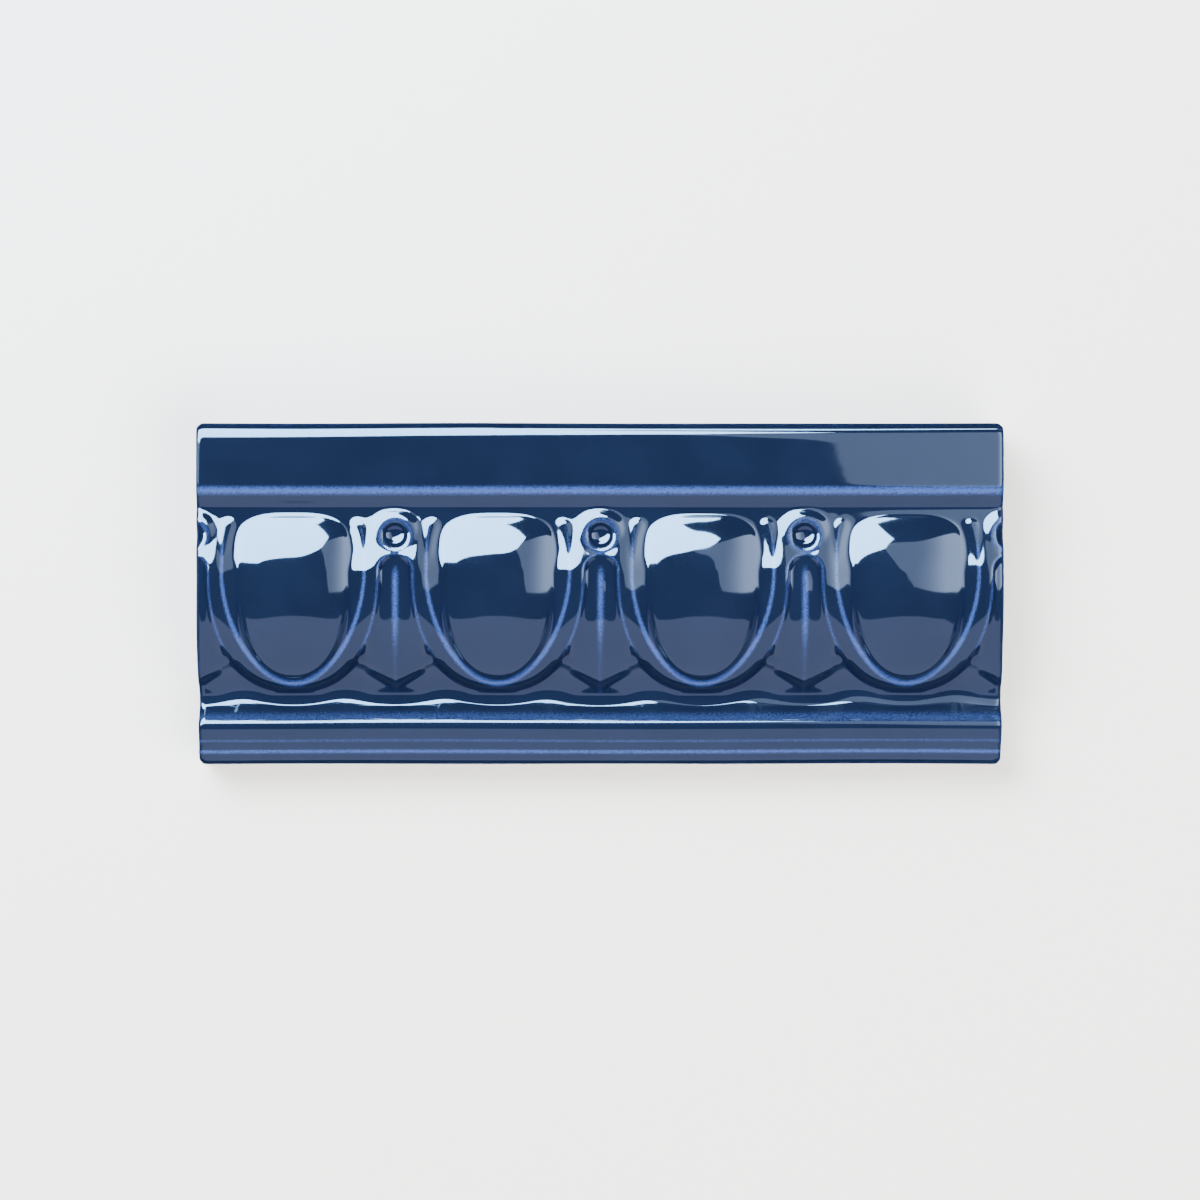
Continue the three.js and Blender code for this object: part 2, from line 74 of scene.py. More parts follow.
# Level lines across the face
TOP_EDGE = WIDTH / 2
BAND_END = TOP_EDGE - BAND_WIDTH
FRIEZE_TOP = BAND_END - FALL_WIDTH
FRIEZE_BOTTOM = FRIEZE_TOP - FRIEZE_WIDTH
ROLL_TOP = FRIEZE_BOTTOM - COVE_WIDTH
STEP_TOP = ROLL_TOP - ROLL_WIDTH
FOOT_TOP = STEP_TOP - STEP_WIDTH
BOTTOM_EDGE = -TOP_EDGE

# Ovolo: the rounded face of the frieze, highest on the crown line
CROWN_DROP = 12.4
CROWN_Y = FRIEZE_TOP - CROWN_DROP
UPPER_REACH = CROWN_DROP
LOWER_REACH = FRIEZE_WIDTH - CROWN_DROP
FACE_CROWN = 21.4
FACE_UPPER_REACH = UPPER_REACH - 1.4
FACE_UPPER_FOOT = RECESS_HEIGHT - 0.05
FACE_CROWN_ROUND = 1.2
FACE_LOWER_FOOT = 12.0
FACE_LOWER_POWER = 2.125

# Ground behind the ornament, which banks up out of the cove
GROUND_DEPTH = 2.5
RECESS_CLEARANCE = 0.4
BANK_DEPTH = 1.2
BANK_SLOPE = 0.4
BANK_CURVE = 0.06
BANK_ROUND = 0.4
BANK_GAP_NEAR = 0.2
BANK_GAP_FAR = 0.8
COVE_WAVE = 0.75
COVE_WAVE_START = ROLL_TOP + 0.8
COVE_WAVE_FULL = FRIEZE_BOTTOM - 1.0
UPPER_MEETING = CROWN_Y + 2
UPPER_BLEND = 0.1
LOWER_MEETING = FRIEZE_BOTTOM + 1
LOWER_BLEND = 0.3

# Egg
EGG_OVAL = dict(half_width=10.2, upper=UPPER_REACH - 1.25, lower=LOWER_REACH - 2.85,
                upper_power=5.0, lower_power=2.25)
EGG_CROWN = 23.0
EGG_SIDE_FOOT = 20.0
EGG_UPPER_FOOT = RECESS_HEIGHT
EGG_LOWER_FOOT = 15.4
EGG_SIDE_POWER = 2.3
EGG_UPPER_POWER = 1.8
EGG_LOWER_POWER = 2.4
EGG_SQUARENESS = 1.4
EGG_SIDE_WALL_SLOPE = 0.4
EGG_WALL_SLOPE = 3.0
EGG_WALL_ROUND = 0.7
EGG_WALL_START = 0.3
EGG_WALL_LEAN = 0.6
EGG_BLEND = 0.25

# Husk
HUSK_OVAL = dict(half_width=13.3, upper=UPPER_REACH + 4.1, lower=LOWER_REACH - 1.95,
                 upper_power=3.0, lower_power=1.83)
HUSK_TILT = 0.5
HUSK_TILT_WIDTH = 2.6
HUSK_SIDE_SLOPE = 0.38
HUSK_END_SLOPE = 1.3
HUSK_ROUND = 0.15
HUSK_BLEND = 0.2

# Rib: the upper end of the husk's arris
RIB_FALL = 0.22
RIB_START = 1.0
RIB_TOP = 9.0
RIB_HALF_WIDTH = 0.6
RIB_SLOPE = 0.5
RIB_ROUND = 0.15

# Hollow
HOLLOW_HALF_WIDTH = 3.2
HOLLOW_HEAD = 0.35
HOLLOW_OVAL = dict(half_width=PITCH / 2 - HOLLOW_HALF_WIDTH, upper=60.0,
                   lower=LOWER_REACH - 0.35, upper_power=2.0, lower_power=2.2)
HOLLOW_DEPTH = 1.2
HOLLOW_WALL_WIDTH = 0.6
HOLLOW_FOOT_DEPTH = 0.35
HOLLOW_FILL_TOP = CROWN_Y - 1
HOLLOW_FILL_LENGTH = 16
HOLLOW_SPREAD = 1.8
HOLLOW_SPREAD_TOP = CROWN_Y - 4
HOLLOW_SPREAD_END = CROWN_Y - 13

# Wall and slot between the husk's lower end and the dart's foot
HUSK_WALL_SLOPE = 1.5
HUSK_WALL_TOP = FRIEZE_BOTTOM + 6.3
HUSK_WALL_FADE = 0.7
HUSK_WALL_WIDTH = 1.0
SLOT_WIDTH = 0.5
BANK_TOP = HUSK_WALL_TOP + 3
BANK_FULL = HUSK_WALL_TOP - 1

# Dart
SPINE_HALF_WIDTH = 1.3
SPINE_RISE = 0.3
SPINE_TOP = CROWN_Y + 1.6
SPINE_FULL = CROWN_Y - 3
DART_TIP = FRIEZE_BOTTOM + 0.7
DART_FOOT_SLOPE = 0.66
DART_FOOT_WALL = 1.3
DART_FOOT_RISE = 0.55
DART_RISE_TOP = CROWN_Y - 14
DART_CAMBER = 0.07
DART_CAMBER_TOP = CROWN_Y - 12
DART_FULL = CROWN_Y - 19
DART_BLEND = 0.15

# Eye
EYE_Y = CROWN_Y + 7.1
EYE_HEIGHT = 19.7
EYE_TILT = 0.15
EYE_RIM_RADIUS = 3.0
EYE_RIM_HALF_WIDTH = 0.5
EYE_RIM_SLOPE = 0.55
EYE_LIP_SLOPE = 0.5
EYE_REACH = EYE_RIM_RADIUS + 2.2
EYE_DISH_RADIUS = 2.55
EYE_DISH_CURVE = 2.75
EYE_DISH_WALL = 2.5
EYE_BLEND = 0.12
EYE_DISH_BLEND = 0.1

# The ornament stops a little short of the frieze's upper edge and runs a little past its lower one
ORNAMENT_TOP = FRIEZE_TOP - 0.2
ORNAMENT_BOTTOM = FRIEZE_BOTTOM - 0.9

# Keys along the back
KEY_COUNT = 4
KEY_WIDTH = 4.0
KEY_DEPTH = 1.2
KEY_TAPER = 0.8
KEY_PITCH = 14.0

BAND_CORNERS = [
    (TOP_EDGE, BAND_HEIGHT - EDGE_DROP, 0.0),
    (TOP_EDGE - 0.03 * EDGE_ROUND, BAND_HEIGHT - 0.74 * EDGE_DROP, 0.1),
    (TOP_EDGE - 0.234 * EDGE_ROUND, BAND_HEIGHT - 0.357 * EDGE_DROP, 0.5),
    (TOP_EDGE - 0.577 * EDGE_ROUND, BAND_HEIGHT - 0.094 * EDGE_DROP, 0.6),
    (TOP_EDGE - EDGE_ROUND, BAND_HEIGHT - 0.01, 0.5),
    (BAND_END, BAND_HEIGHT, 0.9),
    (FRIEZE_TOP, RECESS_HEIGHT, 0.5),
    (CROWN_Y, RECESS_HEIGHT, 0.0),
]
LOWER_CORNERS = [
    (FRIEZE_BOTTOM + 1.0, COVE_HEIGHT, 0.0),
    (FRIEZE_BOTTOM - 0.39 * COVE_WIDTH, COVE_HEIGHT + 0.1, 0.85),
    (ROLL_TOP + 0.07 * COVE_WIDTH, ROLL_HEIGHT - 0.35, 0.4),
    (ROLL_TOP - 0.1, ROLL_HEIGHT, 0.35),
    (ROLL_TOP - 0.42 * ROLL_WIDTH, ROLL_HEIGHT, 0.4),
    (STEP_TOP + 0.5, STEP_HEIGHT + 0.1, 0.2),
    (STEP_TOP, STEP_HEIGHT, 0.1),
    (STEP_TOP - 0.35, STEP_HEIGHT - STEP_DROP, 0.1),
    (FOOT_TOP, FOOT_HEIGHT, 0.1),
    (FOOT_TOP - 0.35, FOOT_HEIGHT - STEP_DROP, 0.1),
    (BOTTOM_EDGE + 0.7, FOOT_HEIGHT - STEP_DROP - 0.6, 0.4),
    (BOTTOM_EDGE, FOOT_HEIGHT - FOOT_DROP, 0.0),
]


# Shape of the pressed clay

def rounded_ramp(t, radius):
    curved = (t + radius) ** 2 / (4 * max(radius, 1e-6))
    return np.where(t <= -radius, 0.0, np.where(t >= radius, t, curved))


def blended_max(a, b, blend):
    share = np.clip(0.5 + (a - b) / (2 * blend), 0, 1)
    return b * (1 - share) + a * share + blend * share * (1 - share)


def blended_min(a, b, blend):
    return -blended_max(-a, -b, blend)


def smooth_step(t, low, high):
    share = np.clip((t - low) / (high - low), 0, 1)
    return share * share * (3 - 2 * share)


def easing(t):
    """Rises from 0 to 1 and levels off, steepest at the start."""
    return 1 - (1 - np.clip(t, 0, 1)) ** 2


def broken_line(y, corners):
    slopes = [(b[1] - a[1]) / (a[0] - b[0]) for a, b in zip(corners, corners[1:])]
    z = corners[0][1] + slopes[0] * (corners[0][0] - y)
    for before, after, corner in zip(slopes, slopes[1:], corners[1:]):
        z = z + (after - before) * rounded_ramp(corner[0] - y, corner[2])
    return z


def against_oval(u, y, oval):
    """Distance outside the oval, lean of its normal along Y, and Y's share in the distance."""
    above = y > CROWN_Y
    reach = np.where(above, oval["upper"], oval["lower"])
    power = np.where(above, oval["upper_power"], oval["lower_power"])
    across = np.maximum(np.abs(u) / oval["half_width"], 1e-9)
    along = np.maximum(np.abs(y - CROWN_Y) / reach, 1e-9)
    size = (across ** power + along ** power) ** (1 / power)
    slope_u = (across / size) ** (power - 1) / oval["half_width"]
    slope_y = (along / size) ** (power - 1) / reach * np.where(above, 1, -1)
    slope = np.hypot(slope_u, slope_y)
    return (size - 1) / slope, slope_y / slope, (along / size) ** power


def face_height(y):
    """The rounded face that the husks and the darts share."""
    up = np.maximum(y - CROWN_Y, 0)
    down = np.maximum((CROWN_Y - y) / LOWER_REACH, 0)
    whole = math.hypot(FACE_UPPER_REACH, FACE_CROWN_ROUND) - FACE_CROWN_ROUND
    share = (np.hypot(up, FACE_CROWN_ROUND) - FACE_CROWN_ROUND) / whole
    upper = FACE_CROWN - (FACE_CROWN - FACE_UPPER_FOOT) * share
    lower = FACE_CROWN - (FACE_CROWN - FACE_LOWER_FOOT) * down ** FACE_LOWER_POWER
    return np.where(y > CROWN_Y, upper, lower)


def ground_height(u, y):
    """The plain section behind the ornament; its cove waves a little under the ornament."""
    fade = smooth_step(y, COVE_WAVE_START, COVE_WAVE_FULL)
    waved = y + COVE_WAVE * np.cos(4 * math.pi * u / PITCH) * fade
    rise = rounded_ramp(waved - FRIEZE_BOTTOM + BANK_ROUND, BANK_ROUND)
    bank = COVE_HEIGHT + BANK_SLOPE * rise + BANK_CURVE * rise ** 2
    gap = against_oval(u, y, HUSK_OVAL)[0]
    between = smooth_step(gap, BANK_GAP_NEAR, BANK_GAP_FAR) * smooth_step(y, BANK_TOP, BANK_FULL)
    depth = GROUND_DEPTH + (BANK_DEPTH - GROUND_DEPTH) * between
    body = np.minimum(bank, face_height(y) - depth)
    body = np.where(y > CROWN_Y, np.minimum(body, RECESS_HEIGHT - RECESS_CLEARANCE), body)
    lower = broken_line(waved, LOWER_CORNERS)
    upper = broken_line(y, BAND_CORNERS)
    z = np.where(y > LOWER_MEETING, body, blended_max(body, lower, LOWER_BLEND))
    return np.where(y > UPPER_MEETING, blended_max(body, upper, UPPER_BLEND), z)


def egg_height(u, y):
    gap, lean, _ = against_oval(u, y, EGG_OVAL)
    above = y > CROWN_Y
    foot = np.where(above, EGG_UPPER_FOOT, EGG_LOWER_FOOT)
    reach = np.where(above, EGG_OVAL["upper"], EGG_OVAL["lower"])
    power = np.where(above, EGG_UPPER_POWER, EGG_LOWER_POWER)
    across = (EGG_CROWN - EGG_SIDE_FOOT) * np.abs(u / EGG_OVAL["half_width"]) ** EGG_SIDE_POWER
    along = (EGG_CROWN - foot) * np.abs((y - CROWN_Y) / reach) ** power
    fall = (across ** EGG_SQUARENESS + along ** EGG_SQUARENESS) ** (1 / EGG_SQUARENESS)
    downward = smooth_step(-lean, 0, EGG_WALL_LEAN)
    steepness = EGG_SIDE_WALL_SLOPE + (EGG_WALL_SLOPE - EGG_SIDE_WALL_SLOPE) * downward
    wall = rounded_ramp(gap - EGG_WALL_START * EGG_WALL_ROUND, EGG_WALL_ROUND)
    return EGG_CROWN - fall - steepness * wall


def inside_hollow(u, w, y):
    head_y = CROWN_Y + HOLLOW_HEAD
    head = HOLLOW_HALF_WIDTH - np.hypot(w, y - head_y)
    return np.where(y > head_y, head, against_oval(u, y, HOLLOW_OVAL)[0])


def husk_height(u, w, y):
    gap, lean, share = against_oval(u, y, HUSK_OVAL)
    side = 1 - np.clip(-lean, 0, 1) ** 2
    left = np.clip(1 - np.maximum(gap, 0) / HUSK_TILT_WIDTH, 0, 1)
    tilt = 0.5 * HUSK_TILT * HUSK_TILT_WIDTH * left ** 2 * side
    inner = HUSK_SIDE_SLOPE + (HUSK_END_SLOPE - HUSK_SIDE_SLOPE) * np.where(lean < 0, share, 0)
    face = face_height(y) - tilt - inner * rounded_ramp(-gap, HUSK_ROUND)
    outside = inside_hollow(u, w, y)
    wall = rounded_ramp(outside + HUSK_WALL_WIDTH, HUSK_ROUND)
    wall = wall * smooth_step(y, HUSK_WALL_TOP, HUSK_WALL_TOP - HUSK_WALL_FADE)
    return face - HUSK_WALL_SLOPE * wall, gap


def rib_height(gap, y):
    """The husk's arris, which widens into a round-ended rib as the face falls away at the top."""
    past = np.maximum(y - CROWN_Y - RIB_TOP, 0)
    half = RIB_HALF_WIDTH * np.clip((y - CROWN_Y - RIB_START) / (RIB_TOP - RIB_START), 0, 1)
    crest = RIB_SLOPE * rounded_ramp(np.hypot(gap, past) - half, RIB_ROUND)
    start = FACE_CROWN - 0.5 * HUSK_TILT * HUSK_TILT_WIDTH
    level = start - RIB_FALL * (y - CROWN_Y)
    return np.where(y > CROWN_Y, level - crest, NOWHERE)


def dart_height(u, w, y, ground):
    """The hollow between two husks, with the dart's spine and its pointed foot."""
    outside = inside_hollow(u, w, y)
    fill = np.clip((HOLLOW_FILL_TOP - y) / HOLLOW_FILL_LENGTH, 0, 1)
    depth = HOLLOW_DEPTH + (HOLLOW_FOOT_DEPTH - HOLLOW_DEPTH) * fill
    width = HOLLOW_WALL_WIDTH + HOLLOW_SPREAD * smooth_step(y, HOLLOW_SPREAD_TOP, HOLLOW_SPREAD_END)
    across_spine = (1 - np.clip(w / SPINE_HALF_WIDTH, 0, 1) ** 2) ** 2
    ridge = SPINE_RISE * smooth_step(y, SPINE_TOP, SPINE_FULL) * across_spine
    channel = easing(outside / width) * depth - ridge
    camber = DART_CAMBER * smooth_step(y, DART_CAMBER_TOP, DART_FULL) * w * w
    rise = DART_FOOT_RISE * smooth_step(y, DART_RISE_TOP, DART_FULL)
    slot = HUSK_WALL_SLOPE * HUSK_WALL_WIDTH * np.clip(1 - outside / SLOT_WIDTH, 0, 1)
    slot = slot * smooth_step(y, HUSK_WALL_TOP, HUSK_WALL_TOP - HUSK_WALL_FADE)
    floor = face_height(np.minimum(y, CROWN_Y)) - channel
    surface = np.minimum(face_height(y), floor) - camber + rise - slot
    foot = ground + DART_FOOT_WALL * (y - DART_TIP - DART_FOOT_SLOPE * w)
    return np.where(outside > 0, blended_min(surface, foot, DART_BLEND), NOWHERE)


def with_eye(z, w, y):
    """Sets the eye, a low ring round a dish, into the face above each dart."""
    radius = np.hypot(w, y - EYE_Y)
    plane = EYE_HEIGHT - EYE_TILT * (y - EYE_Y)
    rim = plane - EYE_RIM_SLOPE * np.maximum(np.abs(radius - EYE_RIM_RADIUS) - EYE_RIM_HALF_WIDTH, 0)
    lip = plane + EYE_LIP_SLOPE * np.maximum(radius - EYE_RIM_RADIUS - EYE_RIM_HALF_WIDTH, 0)
    ringed = blended_min(blended_max(z, rim, EYE_BLEND), lip, EYE_BLEND)
    z = np.where(radius < EYE_REACH, ringed, z)
    sunk = np.sqrt(EYE_DISH_CURVE ** 2 - np.minimum(radius, EYE_DISH_RADIUS) ** 2)
    level = math.sqrt(EYE_DISH_CURVE ** 2 - EYE_DISH_RADIUS ** 2)
    wall = EYE_DISH_WALL * np.maximum(radius - EYE_DISH_RADIUS, 0)
    dish = plane - (sunk - level) + wall
    return np.where(radius < EYE_RIM_RADIUS, blended_min(z, dish, EYE_DISH_BLEND), z)


def in_repeat(x):
    """Distance along the length from the nearest egg's middle, and from the nearest dart's."""
    from_egg = np.abs(x / PITCH - np.floor(x / PITCH) - 0.5) * PITCH
    return from_egg, PITCH / 2 - from_egg


def clay_height(x, y):
    u, w = in_repeat(x)
    ground = ground_height(u, y)
    husk, gap = husk_height(u, w, y)
    dart = dart_height(u, w, y, ground)
    husk = np.where(dart > NOWHERE, np.minimum(husk, dart), husk)
    ornament = np.maximum(husk, dart)
    ornament = blended_max(ornament, rib_height(gap, y), RIB_ROUND)
    z = blended_max(ground, ornament, HUSK_BLEND)
    z = blended_max(z, egg_height(u, y), EGG_BLEND)
    z = with_eye(z, w, y)
    plain = (y > ORNAMENT_TOP) | (y < ORNAMENT_BOTTOM)
    return np.where(plain, ground, z)


# The glaze: a flowed skin that rounds the arrises, runs thin on them and pools in the hollows.
# Each line where it runs thin has its greatest thinness and its half width.
ARCH_LINE = (0.55, 0.3)
SPINE_LINE = (0.85, 0.6)
RING_LINE = (0.5, 0.6)
BAND_LINE = (1.0, 0.75)
STEP_LINE = (0.5, 0.25)
FOOT_LINE = (0.9, 0.35)
TOP_LINE = (0.5, 0.35)
BOTTOM_LINE = (0.35, 0.35)
END_LINE = (0.5, 0.4)
COVE_LINE = (0.45, 1.1)
COVE_LINE_Y = ROLL_TOP + 0.9

# The husk's arris, whose line widens towards the bottom and fades towards the rib's top
ARRIS_SHIFT = 0.1
ARRIS_WIDTH = 0.28
ARRIS_SPREAD = 0.32
ARRIS_TOP = CROWN_Y + RIB_TOP + 1.5
ARRIS_FULL = CROWN_Y + RIB_TOP - 1
RIB_DARKENING = 0.55
RIB_DARK_START = CROWN_Y + 3
RIB_DARK_FULL = CROWN_Y + RIB_TOP - 2

# The arch round the hollow and the dart's spine, which fade towards their ends
ARCH_SHIFT = 0.1
ARCH_BOTTOM = HUSK_WALL_TOP - 1
ARCH_FULL = HUSK_WALL_TOP + 4
SPINE_INSET = 0.5
SPINE_BRIGHT_TOP = CROWN_Y - 1.0
SPINE_BRIGHT_BOTTOM = CROWN_Y - 7
SPINE_BOTTOM = CROWN_Y - 17
SPINE_LEAST = 0.25


def line_share(distance, half_width):
    """1 on a line, falling off smoothly over its half width."""
    return np.exp(-(distance / half_width) ** 2)


def thin_line(distance, line):
    most, half_width = line
    return most * line_share(distance, half_width)


def thin_glaze(x, y):
    """How thin the glaze runs, from 0 on the faces to 1 on the sharpest arrises."""
    u, w = in_repeat(x)
    gap, lean, _ = against_oval(u, y, HUSK_OVAL)
    fade = smooth_step(y, ARRIS_TOP, ARRIS_FULL)
    fade = fade * (1 - RIB_DARKENING * smooth_step(y, RIB_DARK_START, RIB_DARK_FULL))
    arris = line_share(gap - ARRIS_SHIFT, ARRIS_WIDTH + ARRIS_SPREAD * np.clip(-lean, 0, 1)) * fade
    outside = inside_hollow(u, w, y)
    arch = thin_line(outside + ARCH_SHIFT, ARCH_LINE) * smooth_step(y, ARCH_BOTTOM, ARCH_FULL)
    bright = smooth_step(y, SPINE_TOP, SPINE_BRIGHT_TOP)
    bright = bright * smooth_step(y, SPINE_BOTTOM, SPINE_BRIGHT_BOTTOM)
    spine = thin_line(w, SPINE_LINE) * (SPINE_LEAST + (1 - SPINE_LEAST) * bright)
    spine = spine * (outside > SPINE_INSET) * (y < SPINE_TOP)
    ring = thin_line(np.hypot(w, y - EYE_Y) - EYE_RIM_RADIUS, RING_LINE)
    band = thin_line(y - BAND_END, BAND_LINE)
    steps = thin_line(y - STEP_TOP, STEP_LINE) + thin_line(y - FOOT_TOP, FOOT_LINE)
    edges = thin_line(y - TOP_EDGE, TOP_LINE) + thin_line(y - BOTTOM_EDGE, BOTTOM_LINE)
    edges = edges + thin_line(LENGTH / 2 - np.abs(x), END_LINE)
    cove = thin_line(y - COVE_LINE_Y, COVE_LINE)
    in_frieze = (y < FRIEZE_TOP) & (y > FRIEZE_BOTTOM)
    ornament = np.where(in_frieze, np.maximum.reduce([arris, arch, spine, ring]), 0)
    return np.clip(np.maximum.reduce([ornament, band, steps, edges, cove]), 0, 1)


def blur(field, sigma, step):
    reach = int(math.ceil(3 * sigma / step))
    offsets = np.arange(-reach, reach + 1) * step
    weights = np.exp(-0.5 * (offsets / sigma) ** 2)
    weights /= weights.sum()
    for axis in (0, 1):
        pad = [(reach, reach) if a == axis else (0, 0) for a in (0, 1)]
        padded = np.pad(field, pad, mode="reflect", reflect_type="odd")
        size = field.shape[axis]
        total = np.zeros_like(field)
        for i, weight in enumerate(weights):
            total += weight * np.take(padded, range(i, i + size), axis=axis)
        field = total
    return field


WAVE_COUNT = 6
WAVE_SUM = 3.5


def wander(x, y, size, seed, wavelength):
    """Smooth hand-made unevenness of about the given size to either side of 0."""
    rng = np.random.default_rng(seed)
    total = np.zeros_like(x)
    for _ in range(WAVE_COUNT):
        angle = rng.uniform(0, math.pi)
        length = wavelength * rng.uniform(0.7, 1.6)
        phase = rng.uniform(0, 2 * math.pi)
        total += np.sin(2 * math.pi * (x * math.cos(angle) + y * math.sin(angle)) / length + phase)
    return size * total / WAVE_SUM


# Grid of the face, the finer grid that it is worked out on, and the glaze's softness
COLUMNS = 449
ROWS = 205
FINE_STEP = 0.15
GLAZE_SOFTNESS = 0.22
POOL_REACH = 0.8

# Unevenness as size, seed and wavelength
PATTERN_WANDER_X = (0.12, 3, 60)
PATTERN_WANDER_Y = (0.10, 5, 70)
SKIN_WANDER = (0.03, 11, 26)
END_WANDER = (0.12, 21, 30)
EDGE_WANDER = (0.08, 23, 50)

# Edges and sides of the fired tile
END_RADIUS = 1.1
CORNER_RADIUS = 1.3
END_REACH = 6.0
EDGE_REACH = 4.0
FOOT_INSET = 0.25
FOOT_INSET_REACH = 2.0
SKIRT_LEVELS = (0.86, 0.62, 0.36, 0.12, 0.0)


def glazed_face():
    """Grid of the finished face: x, y, z and how deep the glaze lies, in millimetres."""
    step = FINE_STEP
    fine_x = np.arange(-LENGTH / 2, LENGTH / 2 + step / 2, step)
    fine_y = np.arange(-WIDTH / 2, WIDTH / 2 + step / 2, step)
    grid_x, grid_y = np.meshgrid(fine_x, fine_y)
    moved_x = grid_x + wander(grid_x, grid_y, *PATTERN_WANDER_X)
    moved_y = grid_y + wander(grid_x, grid_y, *PATTERN_WANDER_Y)
    clay = clay_height(moved_x, moved_y)
    skin = blur(clay, GLAZE_SOFTNESS, step)
    pool = blur(clay, POOL_REACH, step) - clay
    thin = thin_glaze(moved_x, moved_y)
    skin = skin + wander(grid_x, grid_y, *SKIN_WANDER)

    x = np.linspace(-LENGTH / 2, LENGTH / 2, COLUMNS)
    y = np.linspace(-WIDTH / 2, WIDTH / 2, ROWS)
    x, y = np.meshgrid(x, y)

    def sample(field):
        i = np.clip((y + WIDTH / 2) / step, 0, field.shape[0] - 1.001)
        j = np.clip((x + LENGTH / 2) / step, 0, field.shape[1] - 1.001)
        i0, j0 = i.astype(int), j.astype(int)
        fi, fj = i - i0, j - j0
        top = field[i0, j0] * (1 - fj) + field[i0, j0 + 1] * fj
        bottom = field[i0 + 1, j0] * (1 - fj) + field[i0 + 1, j0 + 1] * fj
        return top * (1 - fi) + bottom * fi

    z = sample(skin)
    # Round the two ends over, as the glaze leaves them
    from_end = np.minimum(LENGTH / 2 - np.abs(x), END_RADIUS)
    drop = END_RADIUS - np.sqrt(np.maximum(END_RADIUS ** 2 - (END_RADIUS - from_end) ** 2, 0))
    z = z - drop
    return x, y, z, sample(pool), sample(thin)


def key_depth(y):
    """Depth of the tapered key grooves that run along the back."""
    depth = np.zeros_like(y)
    for i in range(KEY_COUNT):
        middle = (i - (KEY_COUNT - 1) / 2) * KEY_PITCH
        inside = KEY_WIDTH / 2 - np.abs(y - middle)
        depth = np.maximum(depth, KEY_DEPTH * np.clip(inside / KEY_TAPER, 0, 1))
    return depth


def back_faces(ring):
    """Close the back row by row between the two ends, so that the keys run right through."""
    right = [ring[COLUMNS - 1 + row] for row in range(ROWS)]
    top_left = 2 * (COLUMNS - 1) + ROWS - 1
    left = [ring[(top_left + ROWS - 1 - row) % len(ring)] for row in range(ROWS)]
    first = [left[0], left[1], right[1], *ring[COLUMNS - 1:0:-1]]
    last = [left[-2], *ring[top_left:COLUMNS + ROWS - 3:-1], right[-2]]
    middle = [[left[row], left[row + 1], right[row + 1], right[row]] for row in range(1, ROWS - 2)]
    return [first, *middle, last]


def make_tile():
    """The whole fired tile as one closed mesh: face, sides and keyed back."""
    x, y, z, pool, thin = glazed_face()
    # Round the four plan corners and let the edges wander as a hand-finished tile's do
    over_x = np.maximum(np.abs(x) - (LENGTH / 2 - CORNER_RADIUS), 0)
    over_y = np.maximum(np.abs(y) - (WIDTH / 2 - CORNER_RADIUS), 0)
    longest = np.maximum(np.maximum(over_x, over_y), 1e-9)
    shrink = longest / np.maximum(np.hypot(over_x, over_y), 1e-9)
    x = x - np.sign(x) * over_x * (1 - shrink)
    y = y - np.sign(y) * over_y * (1 - shrink)
    near_end = np.clip(1 - (LENGTH / 2 - np.abs(x)) / END_REACH, 0, 1)
    near_edge = np.clip(1 - (WIDTH / 2 - np.abs(y)) / EDGE_REACH, 0, 1)
    inset_x = END_WANDER[0] + wander(x, y, *END_WANDER)
    inset_y = EDGE_WANDER[0] + wander(x, y, *EDGE_WANDER)
    x = x - np.sign(x) * near_end * np.maximum(inset_x, 0)
    y = y - np.sign(y) * near_edge * np.maximum(inset_y, 0)

    verts = [np.stack([x, y, z], -1).reshape(-1, 3)]
    glaze = [np.stack([pool, thin], -1).reshape(-1, 2)]
    index = np.arange(ROWS * COLUMNS).reshape(ROWS, COLUMNS)
    quads = np.stack([index[:-1, :-1], index[:-1, 1:], index[1:, 1:], index[1:, :-1]], -1)
    faces = quads.reshape(-1, 4).tolist()

    # Sides: rows of points below the face's border, anticlockwise seen from above
    border = np.concatenate([index[0, :-1], index[:-1, -1], index[-1, :0:-1], index[:0:-1, 0]])
    rim = verts[0][border]
    above = border
    count = ROWS * COLUMNS
    for level in SKIRT_LEVELS:
        row = rim.copy()
        row[:, 2] = rim[:, 2] * level
        if level == 0.0:
            for axis, size in enumerate((LENGTH, WIDTH)):
                outermost = np.abs(row[:, axis]) > size / 2 - FOOT_INSET_REACH
                row[:, axis] -= np.sign(row[:, axis]) * FOOT_INSET * outermost
            row[:, 2] = key_depth(row[:, 1])
        below = np.arange(count, count + len(row))
        count += len(row)
        verts.append(row)
        glaze.append(np.zeros((len(row), 2)))
        after = np.roll(above, -1)
        under = np.roll(below, -1)
        faces.extend(np.stack([above, below, under, after], -1).tolist())
        above = below
    return np.concatenate(verts), np.concatenate(glaze), faces, back_faces(above.tolist())


verts, glaze_depth, faces, back = make_tile()
mesh = bpy.data.meshes.new("glazed_tile")
mesh.from_pydata((verts * MM).tolist(), [], faces + back)
mesh.update()
tile = bpy.data.objects.new("glazed_tile", mesh)
bpy.context.scene.collection.objects.link(tile)
for polygon in mesh.polygons[:len(faces)]:
    polygon.use_smooth = True
for column, name in enumerate(("pool", "thin")):
    attribute = mesh.attributes.new(name, "FLOAT", "POINT")
    attribute.data.foreach_set("value", glaze_depth[:, column].astype(np.float32))

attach(tile, "root")
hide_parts("moulded_tile")


# Shader nodes written as Python expressions

